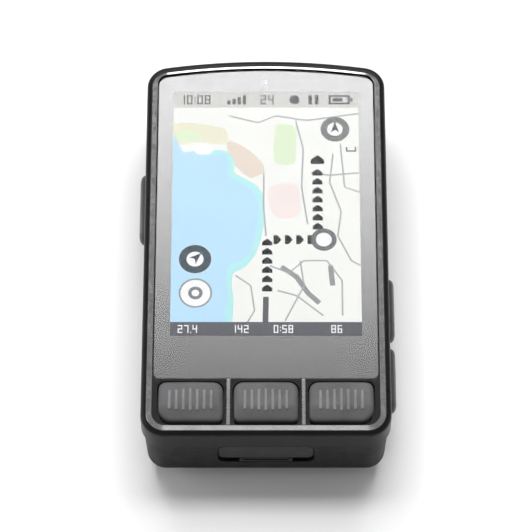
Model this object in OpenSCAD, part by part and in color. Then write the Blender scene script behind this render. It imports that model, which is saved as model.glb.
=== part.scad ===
// Handlebar cycling computer: two-shell case, bonded display, six push buttons,
// a rubber door over the charging port and a quarter-turn mounting hub on the back.
// Frame: +X right, +Y towards the top of the display, +Z out of the display.
// Origin: centre of the hub's end face, the plane that the computer lies on.

/* [Case] */
// Width of the case without its side buttons
case_w = 50.6; // [48:0.2:56]
// Length of the case at its centre line
case_l = 89; // [88.5:0.5:94]
// Rise of the bowed top edge from its corners to its centre
top_bow = 2.3; // [1.7:0.2:2.9]
// Corner radius of the case in plan
corner_r = 4.8; // [4.7:0.1:5.4]
// Height of the hub's end face below the back of the case
hub_drop = 2.4; // [2.2:0.1:2.8]
// Depth of the case from its back to its rim
case_d = 20.6; // [20.4:0.2:22]

/* [Display] */
// Width of the display's active area
screen_w = 39.2; // [34:0.2:39.6]
// Height of the display's active area
screen_h = 58.6; // [52:0.2:58.8]
// Distance from the case's edge to the cover glass
glass_inset = 2.3; // [2.2:0.1:2.5]

/* [Buttons] */
// Travel of every button
travel = 0.5; // [0.3:0.1:0.5]
// Width of one front button
front_button_w = 12.9; // [12:0.1:13.1]
// Height of one front button
front_button_h = 9.2; // [8:0.2:9.2]
// How far a side button stands out of the case
side_proud = 1.4; // [1:0.1:2]

/* [Quarter-turn mount] */
// Diameter of the mounting hub
hub_d = 25; // [24:0.5:26]
// Diameter across the two locking tabs
tab_d = 31; // [30:0.5:32]
// Thickness of the locking tabs
tab_t = 1.6; // [1.2:0.1:1.6]

/* [Hidden] */

$fn = 48;
eps = 0.02;            // overrun of a cut past a face
slip = 0.05;           // running clearance
corner_steps = 10;     // segments of a case corner
bow_steps = 12;        // segments of the bowed top edge

// Levels along Z
back_z = hub_drop;
rim_z = back_z + case_d;
seam_z = rim_z - 6;
floor_t = 1.6;
recess_z = back_z + 1.8;
battery_z = 8.2;
recess_r = 18;
board_t = 1;
board_z = seam_z - 1.6;
board_top = board_z + board_t;
plate_z = board_top + 1.8;
plate_t = 0.6;
plate_top = plate_z + plate_t;
face_t = 2.1;
face_z = rim_z - face_t;
glass_t = 1.1;
glass_top = rim_z - 0.15;
glass_z = glass_top - glass_t;
ledge_z = glass_z - 0.15;
film_z = glass_z - 0.2;
lcd_z = film_z - 1.35;

// Plan of the case
half_w = case_w / 2;
half_l = case_l / 2;
bow_r = (half_w * half_w + top_bow * top_bow) / (2 * top_bow);
bow_y = half_l - bow_r;
corner_x = half_w - corner_r;
corner_top_y = bow_y + sqrt(pow(bow_r - corner_r, 2) - pow(corner_x, 2));
corner_angle = atan2(corner_top_y - bow_y, corner_x);
rear_inset = 0.5;      // step of the rear shell in from the front shell
wall_inset = 2.8;      // inner face of the rear shell's wall
floor_inset = 3.6;     // inner face of the wall beside the floor
front_inset = 2;       // inner face of the front shell's wall
board_inset = 3.6;

// Display, in plan
screen_y = 7.25;
glass_bottom = 1.1 - half_l + 11.5;
lcd_half_w = screen_w / 2 + 1.1;
lcd_low = screen_y - screen_h / 2 - 3.1;
lcd_high = screen_y + screen_h / 2 + 1.2;
lcd_gap = 0.3;
flex_y = lcd_low - 2.5;

// Front buttons
cap_gap = 0.3;
cap_low = 2.3 - half_l;
cap_high = cap_low + front_button_h;
cap_pitch = 15.2;
cap_y = (cap_low + cap_high) / 2;
cap_top = rim_z + 1.1;
flange_top = face_z - slip;
flange_t = 0.65;
stem_r = 1.2;
switch_h = 1.1;
plunger_r = 0.8;
plunger_h = 1;
stem_low = board_top + switch_h + travel + 0.15;

// Side buttons
side_z = board_z - 2.5;
side_h = 4.2;
side_axis_z = board_z - 1.2;
side_stem_r = 0.9;
side_plunger_r = 0.7;
side_flange_x = 22.75;
side_flange_t = 0.75;
side_pocket_x = 23.6;
side_tip_x = half_w + side_proud;
side_stem_x = 21.75;
side_switch_x = 21.05;
power_y = 13;
power_l = 16.6;
up_y = -11.3;
down_y = -27.6;
rocker_l = 14.6;

// Charging port in the bottom end wall
port_z = board_z - 1.63;
port_recess = half_l - 1.8;
port_front = half_l - 2.35;
port_low = board_z - 7;
port_high = board_z + 0.5;
peg_z = board_z - 6.7;
door_axis = [1.2 - half_l, board_z - 5.8];
door_half_w = 9.6;
door_low = board_z - 5;
door_high = board_z + 0.3;
door_inner = port_recess + slip;
bead_r = 0.3;

// Carrier of the positioning antenna
gnss_y = half_l - 8.9;
gnss_z = board_z - 1;

// Quarter-turn hub and screws
hub_r = hub_d / 2;
tab_r = tab_d / 2;
tab_z = 0.9;
hub_screw_ring = 8.5;
lock_r = 1.25;         // tapped hole for a locking screw
screw_r = 1;
clear_r = 1.15;
thread_r = 1.02;
head_r = 1.9;
pillar_r = 2.7;
case_screw_at = [
    [-17.6, half_l - 9.5], [17.6, half_l - 9.5],
    [-7.5, 7 - half_l], [7.5, 7 - half_l]];

// ---- Outlines ----

function arc(cx, cy, r, from, to, steps) =
    [for (i = [0:steps]) let (a = from + (to - from) * i / steps)
        [cx + r * cos(a), cy + r * sin(a)]];

function inner(points) = [for (i = [1:len(points) - 2]) points[i]];

// Case plan moved inwards by d, with its bottom edge at low and bottom corners of radius r
function plan(d, low = -half_l, r = corner_r, x = half_w) = concat(
    arc(x - r, low + r, r - d, -90, 0, corner_steps),
    arc(corner_x, corner_top_y, corner_r - d, 0, corner_angle, corner_steps),
    inner(arc(0, bow_y, bow_r - d, corner_angle, 180 - corner_angle, bow_steps)),
    arc(-corner_x, corner_top_y, corner_r - d, 180 - corner_angle, 180, corner_steps),
    arc(r - x, low + r, r - d, 180, 270, corner_steps));

// Plan of the cover glass moved inwards by d
function glass_plan(d) =
    plan(glass_inset + d, glass_bottom - glass_inset, 1.6 + glass_inset);

// Rectangle from lo to hi moved inwards by d, corner radii r anticlockwise from bottom left
function rounded(lo, hi, r, d = 0, steps = 6) = concat(
    arc(lo[0] + r[0], lo[1] + r[0], max(r[0] - d, 0.02), 180, 270, steps),
    arc(hi[0] - r[1], lo[1] + r[1], max(r[1] - d, 0.02), 270, 360, steps),
    arc(hi[0] - r[2], hi[1] - r[2], max(r[2] - d, 0.02), 0, 90, steps),
    arc(lo[0] + r[3], hi[1] - r[3], max(r[3] - d, 0.02), 90, 180, steps));

function same(r) = [r, r, r, r];

// ---- Shapes ----

// Closed solid through rings of equal length, lowest first
module skin(rings) {
    n = len(rings[0]);
    top = len(rings) - 1;
    points = [for (ring = rings) each ring];
    sides = [for (k = [0:top - 1], i = [0:n - 1]) let (j = (i + 1) % n)
        [k * n + i, (k + 1) * n + i, (k + 1) * n + j, k * n + j]];
    low = [for (i = [0:n - 1]) i];
    high = [for (i = [n - 1:-1:0]) top * n + i];
    polyhedron(points, concat([low], sides, [high]));
}

function ring_at(points, z) = [for (p = points) [p[0], p[1], z]];

module prism(points, z0, z1) {
    translate([0, 0, z0]) linear_extrude(z1 - z0) polygon(points);
}

module box(lo, hi) {
    translate(lo) cube(hi - lo);
}

module rod(x, y, r, z0, z1) {
    translate([x, y, z0]) cylinder(r = r, h = z1 - z0);
}

// Rod along X about the point at = [y, z], from x0 to x1
module across(at, r, x0, x1) {
    translate([x0, at[0], at[1]]) rotate([0, 90, 0]) cylinder(r = r, h = x1 - x0);
}

// Turns local X, Y, Z to the row's Y, Z, X, mirrored for the left side
module on_side(right = true) {
    mirror([right ? 0 : 1, 0, 0]) rotate([90, 0, 90]) children();
}

// Turns local X, Y, Z to the row's X, Z, -Y, so a height becomes a distance towards -Y
module on_end() {
    rotate([90, 0, 0]) children();
}

// ---- Case ----

function rim_profile(steps = 6) = concat(
    [[seam_z, 0.15], [seam_z + 0.15, 0]],
    [for (i = [0:steps]) let (a = 90 * i / steps)
        [rim_z - 1.3 * (1 - sin(a)), 1.1 * (1 - cos(a))]]);

function back_profile(steps = 9, r = 3.6) = concat(
    [for (i = [0:steps]) let (a = 90 * i / steps)
        [back_z + r * (1 - cos(a)), rear_inset + 0.4 + r * (1 - sin(a))]],
    [[seam_z, rear_inset]]);

function cap_x(index) = (index - 1) * cap_pitch;

// Corner radii of a front button; the outer buttons follow the case's corners
function cap_radii(index) =
    index == 0 ? [2.6, 1, 1.8, 1.5] : index == 2 ? [1, 2.6, 1.5, 1.8] : [1, 1, 1.8, 1.8];

function cap_plan(index, d) = rounded(
    [cap_x(index) - front_button_w / 2, cap_low],
    [cap_x(index) + front_button_w / 2, cap_high], cap_radii(index), d);

module front_shell() {
    color([0.1, 0.1, 0.11])
    difference() {
        union() {
            difference() {
                skin([for (p = rim_profile()) ring_at(plan(p[1]), p[0])]);
                prism(plan(front_inset), seam_z - 1, face_z);
            }
            // Ribs that back the display frame
            for (side = [-1, 1], y = [-18, 2, 22])
                box([side * 22.4 - 1.1, y - 2, plate_top], [side * 22.4 + 1.1, y + 2, face_z + eps]);
        }
        prism(glass_plan(-0.15), ledge_z, rim_z + 1);
        box([-lcd_half_w - lcd_gap, lcd_low - lcd_gap, seam_z],
            [lcd_half_w + lcd_gap, lcd_high + lcd_gap, rim_z]);
        box([-1.3, lcd_high, face_z - 1], [1.3, lcd_high + 2.2, rim_z]);
        for (index = [0:2])
            prism(cap_plan(index, -cap_gap), face_z - 1, rim_z + 1);
    }
}

module side_pocket(y, length) {
    on_side() prism(rounded([y - length / 2 - 0.15, side_z - side_h / 2 - 0.15],
        [y + length / 2 + 0.15, side_z + side_h / 2 + 0.15], same(2.1)), 20, 30);
    on_side() prism(rounded([y - length / 2 - 0.65, side_z - side_h / 2 - 0.65],
        [y + length / 2 + 0.65, side_z + side_h / 2 + 0.65], same(1.2)), 20, side_pocket_x);
}

module port_cuts() {
    on_end() {
        prism(rounded([-door_half_w - 0.2, port_low], [door_half_w + 0.2, port_high], same(1.6)),
            port_recess, half_l + 1);
        prism(rounded([-5.55, port_z - 2], [5.55, port_z + 2], same(1.8)), 30, half_l);
        for (x = [-3, 3]) rod(x, peg_z, 0.75, 36, port_recess + eps);
    }
}

module rear_shell() {
    color([0.08, 0.08, 0.09])
    difference() {
        skin([for (p = back_profile()) ring_at(plan(p[1]), p[0])]);
        difference() {
            union() {
                prism(plan(floor_inset), back_z + floor_t, 7.4 + eps);
                prism(plan(wall_inset), 7.4, seam_z + 1);
            }
            rod(0, 0, 19.8, back_z, recess_z + floor_t);
            for (at = case_screw_at) rod(at[0], at[1], pillar_r, back_z, board_z);
        }
        rod(0, 0, recess_r, 0, recess_z);
        difference() {
            prism(plan(1.2), seam_z - 0.85, seam_z + 1);
            prism(plan(2.1), seam_z - 1, seam_z + 2);
        }
        for (at = case_screw_at) {
            rod(at[0], at[1], clear_r, 0, board_z + 1);
            rod(at[0], at[1], head_r + 0.2, 0, back_z + 2);
        }
        for (a = [45:90:315])
            rod(hub_screw_ring * cos(a), hub_screw_ring * sin(a), clear_r, 0, 9);
        rod(15, -31, 0.6, 0, 9);
        mirror([1, 0, 0]) side_pocket(power_y, power_l);
        side_pocket(up_y, rocker_l);
        side_pocket(down_y, rocker_l);
        port_cuts();
    }
}

module case_seal() {
    color([0.15, 0.15, 0.16])
    difference() {
        prism(plan(1.25), seam_z - 0.85, seam_z);
        prism(plan(1.95), seam_z - 1, seam_z + 1);
    }
}

// ---- Display stack ----

module cover_glass() {
    color([0.2, 0.22, 0.24, 0.5])
    skin([for (p = [[0, 0.1], [0.1, 0], [0.7, 0], [0.9, 0.06], [1.02, 0.2], [1.1, 0.45]])
        ring_at(glass_plan(p[1]), glass_z + p[0] * glass_t / 1.1)]);
}

module glass_adhesive() {
    color([0.05, 0.05, 0.05])
    difference() {
        prism(glass_plan(0.2), ledge_z, glass_z);
        prism(glass_plan(1.4), ledge_z - 1, glass_z + 1);
    }
}

module display_sheet(margin, z0, z1) {
    prism(rounded([-lcd_half_w + margin, lcd_low + margin],
        [lcd_half_w - margin, lcd_high - margin], same(0.6)), z0, z1);
}

module optical_film() {
    color([0.8, 0.85, 0.9, 0.6]) display_sheet(0.6, film_z, glass_z);
}

module lcd_panel() {
    color([0.75, 0.82, 0.86]) display_sheet(0, lcd_z, film_z);
}

module backlight() {
    color([0.9, 0.9, 0.88]) display_sheet(0.3, plate_top, lcd_z);
}

module display_frame() {
    color([0.62, 0.63, 0.65])
    difference() {
        union() {
            prism(plan(front_inset + 0.1), plate_z, plate_top);
            for (at = case_screw_at) rod(at[0], at[1], 2.2, board_top, plate_z + eps);
        }
        for (at = case_screw_at) rod(at[0], at[1], thread_r, 0, 30);
        for (index = [0:2]) rod(cap_x(index), cap_y, stem_r + 0.5, 0, 30);
        box([-7, flex_y - 1, 0], [7, flex_y + 1.2, 30]);
        box([-1.6, lcd_high - 0.4, 0], [1.6, lcd_high + 2.2, 30]);
    }
}

module display_flex() {
    color([0.85, 0.5, 0.1]) {
        box([-6, flex_y, lcd_z - 0.4], [6, lcd_low, lcd_z - 0.24]);
        box([-6, flex_y, board_top + 0.9], [6, flex_y + 0.16, lcd_z - 0.4]);
        box([-6, flex_y + 0.16, board_top + 0.9], [6, flex_y + 6.5, board_top + 1.06]);
    }
}

module display_connector() {
    color([0.85, 0.82, 0.72])
    difference() {
        box([-5, flex_y + 3.5, board_top], [5, flex_y + 6.3, board_top + 0.9]);
        box([-4.4, flex_y + 4.1, board_top + 0.5], [4.4, flex_y + 5.7, board_top + 1]);
    }
}

module light_sensor() {
    color([0.2, 0.2, 0.22]) {
        box([-1.1, lcd_high + 0.5, film_z - 0.9], [1.1, lcd_high + 1.9, film_z]);
        box([-0.9, lcd_high + 0.6, board_top + eps], [0.9, lcd_high + 0.75, film_z - 0.9]);
    }
}

// ---- Electronics ----

module main_board() {
    color([0.05, 0.3, 0.16])
    difference() {
        prism(plan(board_inset), board_z, board_top);
        for (at = case_screw_at) rod(at[0], at[1], 1.3, 0, 30);
    }
}

module shield(lo, hi) {
    difference() {
        box([lo[0], lo[1], board_top], [hi[0], hi[1], board_top + 1.4]);
        box([lo[0] + 0.2, lo[1] + 0.2, board_top - 1], [hi[0] - 0.2, hi[1] - 0.2, board_top + 1.2]);
        for (x = [lo[0] + 2:2.5:hi[0] - 2], y = [lo[1] + 2:2.5:hi[1] - 2])
            rod(x, y, 0.4, board_top, board_top + 2);
    }
}

module processor_shield() {
    color([0.8, 0.81, 0.82]) shield([-15, 2], [1, 17]);
}

module radio_shield() {
    color([0.8, 0.81, 0.82]) shield([5, -10], [16, 3]);
}

module chip(x, y, w, l, h, z = board_top) {
    box([x - w / 2, y - l / 2, z], [x + w / 2, y + l / 2, z + h]);
}

module processor_chip() {
    color([0.12, 0.12, 0.13]) chip(-7, 9.5, 10, 10, 0.9);
}

module radio_chip() {
    color([0.12, 0.12, 0.13]) chip(10.5, -3.5, 6, 6, 0.8);
}

module board_chips() {
    color([0.12, 0.12, 0.13]) {
        chip(-10, -9, 5, 5, 0.8);
        chip(-10, -18, 3, 4, 0.8);
        chip(10, 12, 7, 9, 1);
        chip(11, 24, 3, 3, 0.7);
        for (x = [-4:2:2], y = [-14, -11.5]) chip(x, y, 1, 0.5, 0.5);
        for (x = [-16:2.2:-6]) chip(x, 24, 1.6, 0.8, 0.8);
    }
}

module radio_antenna() {
    color([0.88, 0.86, 0.8]) chip(0, 33.5, 7, 2, 1.1);
}

module gnss_carrier() {
    color([0.18, 0.18, 0.2])
    difference() {
        box([-14, gnss_y, 5], [14, gnss_y + 4.2, gnss_z]);
        box([-12.6, gnss_y + 1.2, 4], [12.6, gnss_y + 3, gnss_z - 1.2]);
    }
}

module gnss_antenna() {
    color([0.83, 0.68, 0.35]) {
        box([-13, gnss_y + 0.4, gnss_z], [13, gnss_y + 4.2, gnss_z + 0.2]);
        box([-13, gnss_y + 4.2, 6.4], [13, gnss_y + 4.4, gnss_z + 0.2]);
        for (x = [-9, 9])
            box([x - 0.6, gnss_y + 1, gnss_z + 0.2], [x + 0.6, gnss_y + 2.2, board_z]);
    }
}

module battery() {
    color([0.72, 0.73, 0.75])
    prism(rounded([-17.6, -23], [17.6, 27], same(1.6)), battery_z, board_z - 0.9);
}

module battery_pad() {
    color([0.2, 0.2, 0.22])
    difference() {
        box([-16, -22, 5.82], [16, 26, battery_z]);
        rod(0, 0, 20, 0, 7);
    }
}

module battery_leads() {
    color([0.75, 0.1, 0.08])
    for (x = [-1.2, 1.2])
        translate([x, 27, board_z - 1.5]) rotate([-90, 0, 0]) cylinder(r = 0.45, h = 3.2);
}

module battery_socket() {
    color([0.93, 0.92, 0.88])
    difference() {
        box([-3, 29.6, board_z - 2.5], [3, 32.8, board_z]);
        for (x = [-1.2, 1.2])
            translate([x, 29, board_z - 1.5]) rotate([-90, 0, 0]) cylinder(r = 0.5, h = 2.6);
    }
}

module pressure_sensor() {
    color([0.78, 0.79, 0.8])
    difference() {
        chip(15, -31, 3, 3, 0.9, board_z - 0.9);
        rod(15, -31, 0.4, 0, board_z - 0.5);
    }
}

module vent_membrane() {
    color([0.95, 0.95, 0.95]) rod(15, -31, 2.5, back_z + floor_t, back_z + floor_t + 0.2);
}

module buzzer() {
    color([0.1, 0.1, 0.1])
    difference() {
        chip(-15.2, -30.5, 8.5, 8.5, 2.2, board_z - 2.2);
        rod(-15.2, -30.5, 0.8, 0, board_z - 1.4);
    }
}

// ---- Charging port ----

module stadium(w, h, y0, y1) {
    on_end() prism(rounded([-w / 2, port_z - h / 2], [w / 2, port_z + h / 2], same(h / 2 - 0.01)), y0, y1);
}

module usb_receptacle() {
    color([0.75, 0.76, 0.78])
    difference() {
        stadium(8.94, 3.26, port_front - 7.35, port_front);
        stadium(8.34, 2.56, port_front - 6.4, port_front + 1);
    }
}

module usb_tongue() {
    color([0.1, 0.1, 0.1])
    box([-3.35, 1 - port_front, port_z - 0.35], [3.35, 6.4 - port_front, port_z + 0.35]);
}

module usb_seal() {
    color([0.3, 0.3, 0.32])
    difference() {
        stadium(11, 4, half_l - 3.5, half_l - wall_inset);
        stadium(9.04, 3.36, half_l - 5, half_l);
    }
}

module usb_door() {
    color([0.13, 0.13, 0.14]) {
        intersection() {
            on_side() linear_extrude(40, center = true) polygon([
                [-door_inner, door_low], [-door_inner, door_high],
                [0.6 - half_l, door_high], [0.8 - half_l, door_low]]);
            on_end() prism(rounded([-door_half_w, door_low], [door_half_w, door_high],
                same(1.4)), 30, 50);
        }
        // Shallow plug that closes the opening
        on_end() prism(rounded([-5.35, port_z - 1.7], [5.35, port_z + 1.6], same(1.5)),
            port_recess - 0.4, door_inner + eps);
        // Hinge bead and the web that carries it
        across(door_axis, bead_r, -5.3, 5.3);
        box([-4.5, door_axis[0] - 0.15, door_axis[1]],
            [4.5, door_axis[0] + 0.15, door_low + eps]);
    }
}

module usb_door_anchor() {
    color([0.13, 0.13, 0.14]) {
        box([-5.4, -port_recess - 0.9, peg_z - 0.25], [5.4, -port_recess, peg_z + 0.25]);
        // Ears that hold the hinge bead
        for (x = [-5.4, 4.6])
            difference() {
                union() {
                    across(door_axis, 0.6, x, x + 0.8);
                    box([x, door_axis[0] - 0.25, peg_z + 0.2],
                        [x + 0.8, -port_recess, door_axis[1]]);
                }
                across(door_axis, bead_r + slip, x - 1, x + 2);
            }
        on_end() for (x = [-3, 3]) {
            rod(x, peg_z, 0.7, half_l - 3.4, port_recess + eps);
            rod(x, peg_z, 1.1, half_l - 3.5, half_l - wall_inset - slip);
        }
    }
}

// ---- Front buttons ----

module front_button(index) {
    color([0.16, 0.16, 0.17])
    union() {
        skin([for (p = [[flange_top - eps, 0], [cap_top - 0.5, 0], [cap_top - 0.25, 0.12],
                        [cap_top - 0.08, 0.4], [cap_top, 1]])
            ring_at(cap_plan(index, p[1]), p[0])]);
        intersection() {
            box([cap_x(index) - front_button_w / 2 - 0.6, cap_low + 0.2, flange_top - flange_t],
                [cap_x(index) + front_button_w / 2 + 0.6, cap_high + 0.6, flange_top]);
            prism(plan(front_inset + 0.15), 0, 30);
        }
        rod(cap_x(index), cap_y, stem_r, stem_low, flange_top - flange_t + eps);
    }
}

module front_button_seal() {
    color([0.3, 0.3, 0.32])
    difference() {
        intersection() {
            prism(plan(front_inset + 0.3), plate_top, plate_top + 0.6);
            box([-30, cap_low - 1, 0], [30, cap_high + 0.3, 30]);
        }
        for (index = [0:2]) rod(cap_x(index), cap_y, stem_r + slip * 2, 0, 30);
    }
}

module front_switch(index) {
    color([0.85, 0.85, 0.86])
    difference() {
        chip(cap_x(index), cap_y, 4.2, 3.4, switch_h);
        rod(cap_x(index), cap_y, plunger_r + slip, board_top + 0.2, 30);
    }
}

module front_plunger(index) {
    color([0.1, 0.1, 0.1])
    rod(cap_x(index), cap_y, plunger_r, stem_low - plunger_h, stem_low);
}

// ---- Side buttons ----

module side_button(y, length) {
    lo = [y - length / 2, side_z - side_h / 2];
    hi = [y + length / 2, side_z + side_h / 2];
    color([0.14, 0.14, 0.15])
    on_side() union() {
        skin([for (p = [[side_flange_x + side_flange_t - eps, 0], [side_tip_x - 1.1, 0],
                        [side_tip_x - 0.6, 0.2], [side_tip_x - 0.2, 0.7], [side_tip_x, 1.6]])
            ring_at(rounded(lo, hi, same(2.09), p[1]), p[0])]);
        prism(rounded(lo - [0.6, 0.6], hi + [0.6, 0.6], same(1.2)),
            side_flange_x, side_flange_x + side_flange_t);
        rod(y, side_axis_z, side_stem_r, side_stem_x, side_flange_x + eps);
    }
}

// Shallow silicone tray that closes the pockets behind the side buttons at the places in stems
module side_tray(stems, length) {
    low = stems[0] - length / 2 - 1.5;
    high = stems[len(stems) - 1] + length / 2 + 1.5;
    color([0.3, 0.3, 0.32])
    on_side() difference() {
        prism(rounded([low, side_z - 3.3], [high, side_z + 3.3], same(1.5)),
            21.85, half_w - wall_inset);
        prism(rounded([low + 0.7, side_z - 2.8], [high - 0.7, side_z + 2.8], same(1.2)),
            22.15, 30);
        for (y = stems) rod(y, side_axis_z, side_stem_r + slip * 2, 20, 30);
    }
}

module side_switch(y) {
    color([0.85, 0.85, 0.86])
    difference() {
        box([18.9, y - 2, board_z - 2.1], [side_switch_x, y + 2, board_z]);
        on_side() rod(y, side_axis_z, side_plunger_r + slip, side_switch_x - 0.95, 30);
    }
}

module side_plunger(y) {
    color([0.1, 0.1, 0.1])
    on_side() rod(y, side_axis_z, side_plunger_r, side_stem_x - 1.1, side_stem_x);
}

// ---- Quarter-turn mount and screws ----

module twist_hub() {
    color([0.2, 0.2, 0.21])
    difference() {
        union() {
            rod(0, 0, hub_r, 0, recess_z);
            intersection() {
                rod(0, 0, tab_r, tab_z, tab_z + tab_t);
                for (side = [0, 180]) rotate(side)
                    prism([[0, 0], [20 * tan(36), 20], [-20 * tan(36), 20]], 0, 10);
            }
        }
        rod(0, 0, 5.5, -1, 0.6);
        rod(0, 0, lock_r, 0, 3.6);
        for (a = [90, 270])
            rod((tab_r + 0.6) * cos(a), (tab_r + 0.6) * sin(a), 1.3, -1, recess_z);
        for (a = [45:90:315]) {
            rod(hub_screw_ring * cos(a), hub_screw_ring * sin(a), clear_r, -1, 9);
            rod(hub_screw_ring * cos(a), hub_screw_ring * sin(a), head_r + 0.15, -1, 1.5);
        }
    }
}

module hub_backing_plate() {
    color([0.7, 0.71, 0.72])
    difference() {
        rod(0, 0, 12, recess_z + floor_t, recess_z + floor_t + 1.1);
        for (a = [45:90:315])
            rod(hub_screw_ring * cos(a), hub_screw_ring * sin(a), thread_r, 0, 9);
    }
}

// Pan-head screw with a six-lobed socket, its head at z0 and its tip at z1
module screw(x, y, z0, z1, head_t) {
    difference() {
        union() {
            rod(x, y, head_r, z0, z0 + head_t);
            rod(x, y, screw_r, z0 + head_t - eps, z1);
        }
        rod(x, y, 0.62, z0 - 1, z0 + head_t - 0.4);
        for (a = [0:60:300])
            rod(x + 0.62 * cos(a), y + 0.62 * sin(a), 0.24, z0 - 1, z0 + head_t - 0.4);
    }
}

module hub_screws() {
    color([0.55, 0.56, 0.58])
    for (a = [45:90:315])
        screw(hub_screw_ring * cos(a), hub_screw_ring * sin(a), 0.2,
            recess_z + floor_t + 1.1, 1.3);
}

module case_screws() {
    color([0.55, 0.56, 0.58])
    for (at = case_screw_at) screw(at[0], at[1], back_z + 0.6, plate_z + 0.2, 1.4);
}

front_shell();
rear_shell();
case_seal();
cover_glass();
glass_adhesive();
optical_film();
lcd_panel();
backlight();
display_frame();
display_flex();
display_connector();
light_sensor();
main_board();
processor_shield();
radio_shield();
processor_chip();
radio_chip();
board_chips();
radio_antenna();
gnss_carrier();
gnss_antenna();
battery();
battery_pad();
battery_leads();
battery_socket();
pressure_sensor();
vent_membrane();
buzzer();
usb_receptacle();
usb_tongue();
usb_seal();
usb_door();
usb_door_anchor();
front_button(0);  // front_button_left
front_button(1);  // front_button_middle
front_button(2);  // front_button_right
front_button_seal();
front_switch(0);  // front_switch_left
front_switch(1);  // front_switch_middle
front_switch(2);  // front_switch_right
front_plunger(0);  // front_plunger_left
front_plunger(1);  // front_plunger_middle
front_plunger(2);  // front_plunger_right
mirror([1, 0, 0]) side_button(power_y, power_l);  // power_button
side_button(up_y, rocker_l);  // up_button
side_button(down_y, rocker_l);  // down_button
mirror([1, 0, 0]) side_tray([power_y], power_l);  // power_button_seal
side_tray([down_y, up_y], rocker_l);  // side_button_seal
mirror([1, 0, 0]) side_switch(power_y);  // power_switch
side_switch(up_y);  // up_switch
side_switch(down_y);  // down_switch
mirror([1, 0, 0]) side_plunger(power_y);  // power_plunger
side_plunger(up_y);  // up_plunger
side_plunger(down_y);  // down_plunger
twist_hub();
hub_backing_plate();
hub_screws();
case_screws();
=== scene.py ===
"""Looks of the handlebar cycling computer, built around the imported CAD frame.

Everything is in metres in the CAD's frame: +X right, +Y towards the top of the display, +Z out of it.
"""

import math

import bmesh
import bpy
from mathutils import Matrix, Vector


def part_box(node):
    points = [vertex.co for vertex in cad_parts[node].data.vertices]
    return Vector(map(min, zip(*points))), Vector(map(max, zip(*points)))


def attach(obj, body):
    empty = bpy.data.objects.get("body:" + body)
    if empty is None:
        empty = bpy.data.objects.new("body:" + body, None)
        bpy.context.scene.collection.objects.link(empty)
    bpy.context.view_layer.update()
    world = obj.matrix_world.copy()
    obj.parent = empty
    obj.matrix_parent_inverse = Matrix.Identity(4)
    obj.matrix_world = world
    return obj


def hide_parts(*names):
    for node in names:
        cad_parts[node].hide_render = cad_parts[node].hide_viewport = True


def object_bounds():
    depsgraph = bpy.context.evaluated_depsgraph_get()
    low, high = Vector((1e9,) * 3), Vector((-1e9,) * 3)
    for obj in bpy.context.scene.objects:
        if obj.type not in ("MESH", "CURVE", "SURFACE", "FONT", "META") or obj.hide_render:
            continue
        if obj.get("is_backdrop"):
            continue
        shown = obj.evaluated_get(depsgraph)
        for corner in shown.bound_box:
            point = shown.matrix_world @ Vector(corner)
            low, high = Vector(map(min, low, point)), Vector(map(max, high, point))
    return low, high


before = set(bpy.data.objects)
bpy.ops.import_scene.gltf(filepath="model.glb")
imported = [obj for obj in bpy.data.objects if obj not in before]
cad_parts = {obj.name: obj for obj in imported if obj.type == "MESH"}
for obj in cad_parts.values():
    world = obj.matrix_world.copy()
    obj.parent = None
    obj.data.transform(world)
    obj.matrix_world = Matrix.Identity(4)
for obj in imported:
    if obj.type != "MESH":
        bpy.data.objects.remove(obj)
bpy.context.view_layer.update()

MM = 0.001

# Camera: turned from the display's normal towards the port's end
TILT = math.radians(29)
CAMERA_DISTANCE = 0.64
OBJECT_SHARE = 0.8     # share of the picture's height that the object fills
SENSOR_MM = 36

# Studio: the paper is painted lighter with the distance from the object, as painted light, so that far
# out it matches the backdrop's brightness
FLOOR_HALF = 4
PAPER_NEAR = 0.7
PAPER_FAR = 0.98
CARD_DISTANCE = 0.7
BACKDROP = 0.5

# Cover glass, its black print and the display's light
GLASS_ALPHA = 0.03     # share of the light that each face of the glass acts on
GLASS_IOR = 2.5        # with that share, each face mirrors about half a percent
PRINT_IOR = 1.86
DISPLAY_GAIN = 1.07    # makes up for what the glass stops


# ---- Outlines, in millimetres, anticlockwise from above ----

def arc(cx, cy, radius, start, end, steps):
    turns = [math.radians(start + (end - start) * i / steps) for i in range(steps + 1)]
    return [(cx + radius * math.cos(a), cy + radius * math.sin(a)) for a in turns]


def rounded(x0, y0, x1, y1, radii, inset=0.0, steps=8):
    """Rectangle moved inwards by inset, with corner radii from bottom left anticlockwise."""
    r = radii if isinstance(radii, (list, tuple)) else (radii,) * 4
    inner = [max(q - inset, 0.02) for q in r]
    return (arc(x0 + r[0], y0 + r[0], inner[0], 180, 270, steps)
            + arc(x1 - r[1], y0 + r[1], inner[1], 270, 360, steps)
            + arc(x1 - r[2], y1 - r[2], inner[2], 0, 90, steps)
            + arc(x0 + r[3], y1 - r[3], inner[3], 90, 180, steps))


def block(x0, y0, x1, y1):
    return [(x0, y0), (x1, y0), (x1, y1), (x0, y1)]


def circle(cx, cy, radius, steps=48):
    return arc(cx, cy, radius, 0, 360 - 360 / steps, steps - 1)


def smooth_loop(points, steps=6):
    """Closed Catmull-Rom curve through the points."""
    curve = []
    count = len(points)
    for i in range(count):
        p0, p1, p2, p3 = (Vector(points[(i + k) % count]) for k in (-1, 0, 1, 2))
        for step in range(steps):
            t = step / steps
            point = 0.5 * (2 * p1 + (p2 - p0) * t + (2 * p0 - 5 * p1 + 4 * p2 - p3) * t ** 2
                           + (3 * p1 - p0 - 3 * p2 + p3) * t ** 3)
            curve.append(tuple(point))
    return curve


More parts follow.
